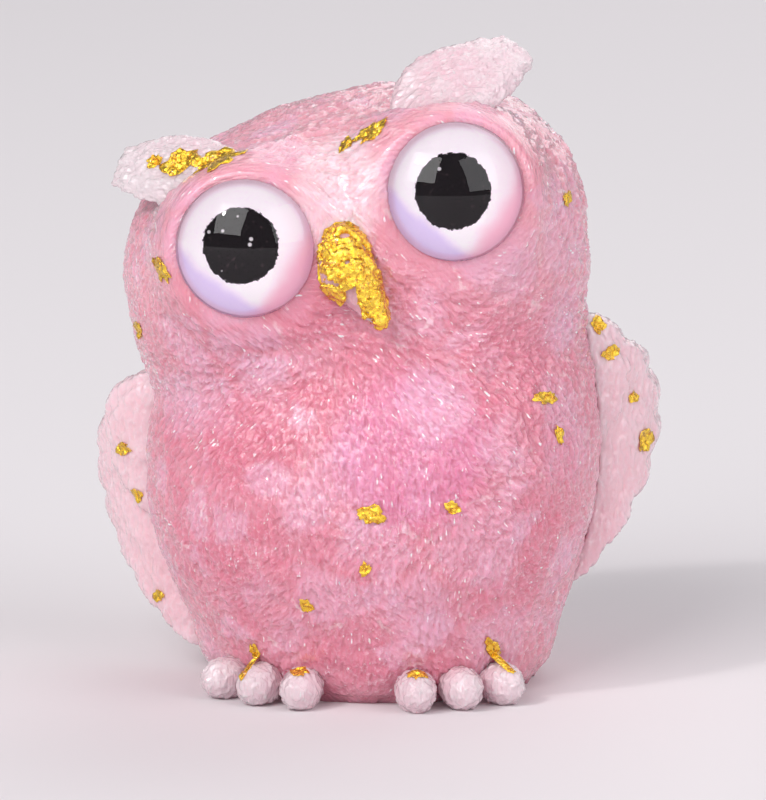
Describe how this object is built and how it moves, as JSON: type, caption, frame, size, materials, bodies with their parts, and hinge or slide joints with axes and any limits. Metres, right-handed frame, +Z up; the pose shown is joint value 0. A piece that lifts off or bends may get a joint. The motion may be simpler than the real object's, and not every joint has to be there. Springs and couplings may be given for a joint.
{
  "type": "owl figurine",
  "caption": "Small rose-pink resin owl with a tilted head, glass eyes, clear ear tufts and wings, quartz chips inside and scraps of gold foil.",
  "frame": {"origin": "centre of the flat base it stands on", "axes": "+Z up, the owl faces -Y, +X to the right of someone who faces it"},
  "size_m": [0.0514, 0.041, 0.0582],
  "materials": {
    "rose_resin": "translucent cast resin with a wet gloss",
    "deep_resin": "deeper pink casting resin",
    "clear_resin": "nearly clear blush resin",
    "rose_quartz": "broken milky quartz",
    "eye_glass": "polished cabochon",
    "eye_pearl": "pearly lavender and white print",
    "eye_black": "glossy black",
    "clear_glue": "clear glue",
    "gold_foil": "crumpled gold leaf"
  },
  "bodies": {
    "root": {"owl_skin": "rose_resin", "base_plug": "deep_resin", "belly_fill": "deep_resin", "chest_fill": "deep_resin", "neck_fill": "deep_resin", "face_fill": "deep_resin", "crown_fill": "deep_resin", "belly_chips": "rose_quartz", "chest_chips": "rose_quartz", "neck_chips": "rose_quartz", "face_chips": "rose_quartz", "left_ear_tuft": "clear_resin", "right_ear_tuft": "clear_resin", "beak": "clear_resin", "left_wing": "clear_resin", "right_wing": "clear_resin", "tail": "clear_resin", "left_outer_toe": "clear_resin", "left_middle_toe": "clear_resin", "left_inner_toe": "clear_resin", "right_inner_toe": "clear_resin", "right_middle_toe": "clear_resin", "right_outer_toe": "clear_resin", "left_eye_glue": "clear_glue", "right_eye_glue": "clear_glue", "left_iris": "eye_pearl", "right_iris": "eye_pearl", "left_pupil": "eye_black", "right_pupil": "eye_black", "left_eye_dome": "eye_glass", "right_eye_dome": "eye_glass", "beak_foil": "gold_foil", "ear_foil": "gold_foil", "face_foil": "gold_foil", "belly_foil": "gold_foil", "left_wing_foil": "gold_foil", "right_wing_foil": "gold_foil", "toe_foil": "gold_foil"}
  },
  "joints": []
}
